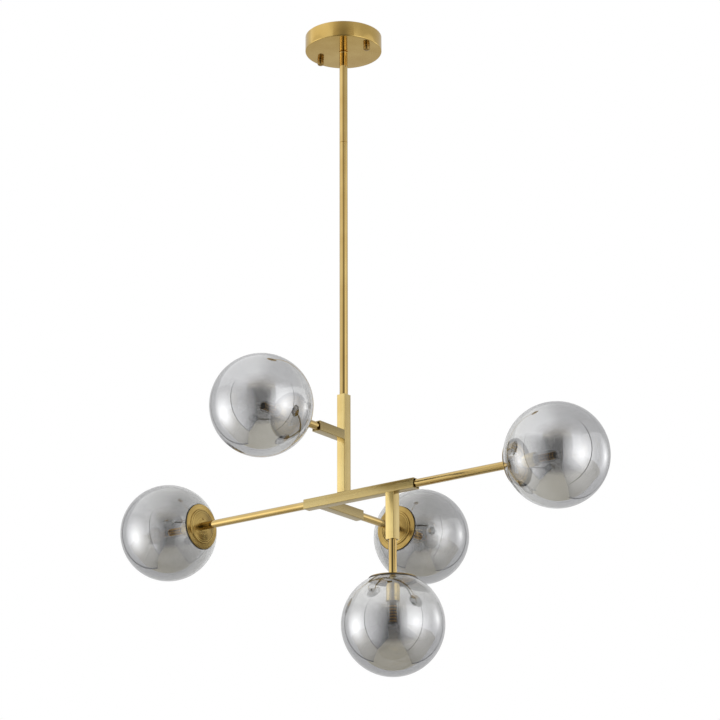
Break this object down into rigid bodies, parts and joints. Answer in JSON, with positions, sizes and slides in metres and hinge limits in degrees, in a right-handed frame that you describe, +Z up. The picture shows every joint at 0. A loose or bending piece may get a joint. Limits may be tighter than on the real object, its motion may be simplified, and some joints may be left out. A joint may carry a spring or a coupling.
{
  "type": "branch chandelier",
  "caption": "Branching square-tube pendant chandelier in satin brass with smoked glass globes on round arms, hung from a round ceiling plate on a rod.",
  "frame": {"origin": "middle of the ceiling plate's mounting face, on the hanging rod's axis", "axes": "+Z up along the hanging rod; +X along the main beam towards the longer beam end; +Y towards the lower side branch"},
  "size_m": [0.8665, 0.6045, 1.0295],
  "materials": {
    "satin_brass": "brushed",
    "polished_brass": "polished",
    "dark_brass": "turned",
    "zinc_steel": "zinc plated",
    "smoked_glass": "smoked, half-silvered",
    "bulb": "clear",
    "ceramic": "glazed",
    "black_rubber": "matt",
    "clip_wire": "spring steel with clear soft tips",
    "white_plastic": "moulded",
    "cable": "sheathed"
  },
  "bodies": {
    "frame": {"crossbar": "zinc_steel", "crossbar_studs": "zinc_steel", "stud_lock_nuts": "zinc_steel", "canopy": "satin_brass", "canopy_nipple": "dark_brass", "canopy_lock_nut": "zinc_steel", "terminal_block": "white_plastic", "wiring": "cable", "downrod_upper": "polished_brass", "downrod_lower": "polished_brass", "downrod_coupler": "dark_brass", "post": "satin_brass", "main_beam": "satin_brass", "upper_branch": "satin_brass", "lower_branch": "satin_brass", "drop_branch": "satin_brass", "tube_end_plugs": "dark_brass", "hollow_nipples": "dark_brass", "rod_right": "polished_brass", "rod_left": "polished_brass", "rod_upper": "polished_brass", "rod_lower": "polished_brass", "rod_drop": "polished_brass", "plate_right": "satin_brass", "plate_left": "satin_brass", "plate_upper": "satin_brass", "plate_lower": "satin_brass", "plate_drop": "satin_brass", "seal_rings": "black_rubber", "plate_screws": "dark_brass", "ring_nuts": "zinc_steel", "clip_straps": "zinc_steel", "lamp_sockets": "ceramic", "sleeve_right": "polished_brass", "sleeve_left": "polished_brass", "sleeve_upper": "polished_brass", "sleeve_lower": "polished_brass", "sleeve_drop": "polished_brass"},
    "globe_right": {"globe_right": "smoked_glass"},
    "bulb_right": {"bulb_right": "bulb"},
    "clip_right_a": {"clip_right_a": "clip_wire"},
    "clip_right_b": {"clip_right_b": "clip_wire"},
    "globe_left": {"globe_left": "smoked_glass"},
    "bulb_left": {"bulb_left": "bulb"},
    "clip_left_a": {"clip_left_a": "clip_wire"},
    "clip_left_b": {"clip_left_b": "clip_wire"},
    "globe_upper": {"globe_upper": "smoked_glass"},
    "bulb_upper": {"bulb_upper": "bulb"},
    "clip_upper_a": {"clip_upper_a": "clip_wire"},
    "clip_upper_b": {"clip_upper_b": "clip_wire"},
    "globe_lower": {"globe_lower": "smoked_glass"},
    "bulb_lower": {"bulb_lower": "bulb"},
    "clip_lower_a": {"clip_lower_a": "clip_wire"},
    "clip_lower_b": {"clip_lower_b": "clip_wire"},
    "globe_drop": {"globe_drop": "smoked_glass"},
    "bulb_drop": {"bulb_drop": "bulb"},
    "clip_drop_a": {"clip_drop_a": "clip_wire"},
    "clip_drop_b": {"clip_drop_b": "clip_wire"},
    "cap_nut_left": {"cap_nut_left": "dark_brass"},
    "cap_nut_right": {"cap_nut_right": "dark_brass"}
  },
  "joints": [
    {"name": "globe_right_pull", "type": "slide", "parent": "frame", "child": "globe_right", "axis": [1, 0, 0], "range_m": [0, 0.02]},
    {"name": "bulb_right_pull", "type": "slide", "parent": "frame", "child": "bulb_right", "axis": [1, 0, 0], "range_m": [0, 0.01]},
    {"name": "clip_right_a_fold", "type": "hinge", "parent": "frame", "child": "clip_right_a", "pos_m": [0.307, 0.013, -0.7515], "axis": [0, 0, -1], "range_deg": [0, 50]},
    {"name": "clip_right_b_fold", "type": "hinge", "parent": "frame", "child": "clip_right_b", "pos_m": [0.307, -0.013, -0.7515], "axis": [0, 0, 1], "range_deg": [0, 50]},
    {"name": "globe_left_pull", "type": "slide", "parent": "frame", "child": "globe_left", "axis": [-1, 0, 0], "range_m": [0, 0.02]},
    {"name": "bulb_left_pull", "type": "slide", "parent": "frame", "child": "bulb_left", "axis": [-1, 0, 0], "range_m": [0, 0.01]},
    {"name": "clip_left_a_fold", "type": "hinge", "parent": "frame", "child": "clip_left_a", "pos_m": [-0.2775, 0.013, -0.7515], "axis": [0, 0, 1], "range_deg": [0, 50]},
    {"name": "clip_left_b_fold", "type": "hinge", "parent": "frame", "child": "clip_left_b", "pos_m": [-0.2775, -0.013, -0.7515], "axis": [0, 0, -1], "range_deg": [0, 50]},
    {"name": "globe_upper_pull", "type": "slide", "parent": "frame", "child": "globe_upper", "axis": [0, -1, 0], "range_m": [0, 0.02]},
    {"name": "bulb_upper_pull", "type": "slide", "parent": "frame", "child": "bulb_upper", "axis": [0, -1, 0], "range_m": [0, 0.01]},
    {"name": "clip_upper_a_fold", "type": "hinge", "parent": "frame", "child": "clip_upper_a", "pos_m": [0.013, -0.1295, -0.6565], "axis": [0, 0, -1], "range_deg": [0, 50]},
    {"name": "clip_upper_b_fold", "type": "hinge", "parent": "frame", "child": "clip_upper_b", "pos_m": [-0.013, -0.1295, -0.6565], "axis": [0, 0, 1], "range_deg": [0, 50]},
    {"name": "globe_lower_pull", "type": "slide", "parent": "frame", "child": "globe_lower", "axis": [0, 1, 0], "range_m": [0, 0.02]},
    {"name": "bulb_lower_pull", "type": "slide", "parent": "frame", "child": "bulb_lower", "axis": [0, 1, 0], "range_m": [0, 0.01]},
    {"name": "clip_lower_a_fold", "type": "hinge", "parent": "frame", "child": "clip_lower_a", "pos_m": [-0.0305, 0.193, -0.7515], "axis": [0, 0, 1], "range_deg": [0, 50]},
    {"name": "clip_lower_b_fold", "type": "hinge", "parent": "frame", "child": "clip_lower_b", "pos_m": [-0.0565, 0.193, -0.7515], "axis": [0, 0, -1], "range_deg": [0, 50]},
    {"name": "globe_drop_pull", "type": "slide", "parent": "frame", "child": "globe_drop", "axis": [0, 0, -1], "range_m": [0, 0.02]},
    {"name": "bulb_drop_pull", "type": "slide", "parent": "frame", "child": "bulb_drop", "axis": [0, 0, -1], "range_m": [0, 0.01]},
    {"name": "clip_drop_a_fold", "type": "hinge", "parent": "frame", "child": "clip_drop_a", "pos_m": [0.0885, 0.013, -0.8885], "axis": [-1, 0, 0], "range_deg": [0, 50]},
    {"name": "clip_drop_b_fold", "type": "hinge", "parent": "frame", "child": "clip_drop_b", "pos_m": [0.0885, -0.013, -0.8885], "axis": [1, 0, 0], "range_deg": [0, 50]},
    {"name": "cap_nut_left_turn", "type": "hinge", "parent": "frame", "child": "cap_nut_left", "pos_m": [-0.0455, 0, -0.03], "axis": [0, 0, 1], "continuous": true},
    {"name": "cap_nut_right_turn", "type": "hinge", "parent": "frame", "child": "cap_nut_right", "pos_m": [0.0455, 0, -0.03], "axis": [0, 0, 1], "continuous": true}
  ],
  "couplings": [
    {"joint": "clip_right_a_fold", "follows": "globe_right_pull", "rad_per_m": 43.631},
    {"joint": "clip_right_b_fold", "follows": "globe_right_pull", "rad_per_m": 43.631},
    {"joint": "clip_left_a_fold", "follows": "globe_left_pull", "rad_per_m": 43.631},
    {"joint": "clip_left_b_fold", "follows": "globe_left_pull", "rad_per_m": 43.631},
    {"joint": "clip_upper_a_fold", "follows": "globe_upper_pull", "rad_per_m": 43.631},
    {"joint": "clip_upper_b_fold", "follows": "globe_upper_pull", "rad_per_m": 43.631},
    {"joint": "clip_lower_a_fold", "follows": "globe_lower_pull", "rad_per_m": 43.631},
    {"joint": "clip_lower_b_fold", "follows": "globe_lower_pull", "rad_per_m": 43.631},
    {"joint": "clip_drop_a_fold", "follows": "globe_drop_pull", "rad_per_m": 43.631},
    {"joint": "clip_drop_b_fold", "follows": "globe_drop_pull", "rad_per_m": 43.631}
  ]
}
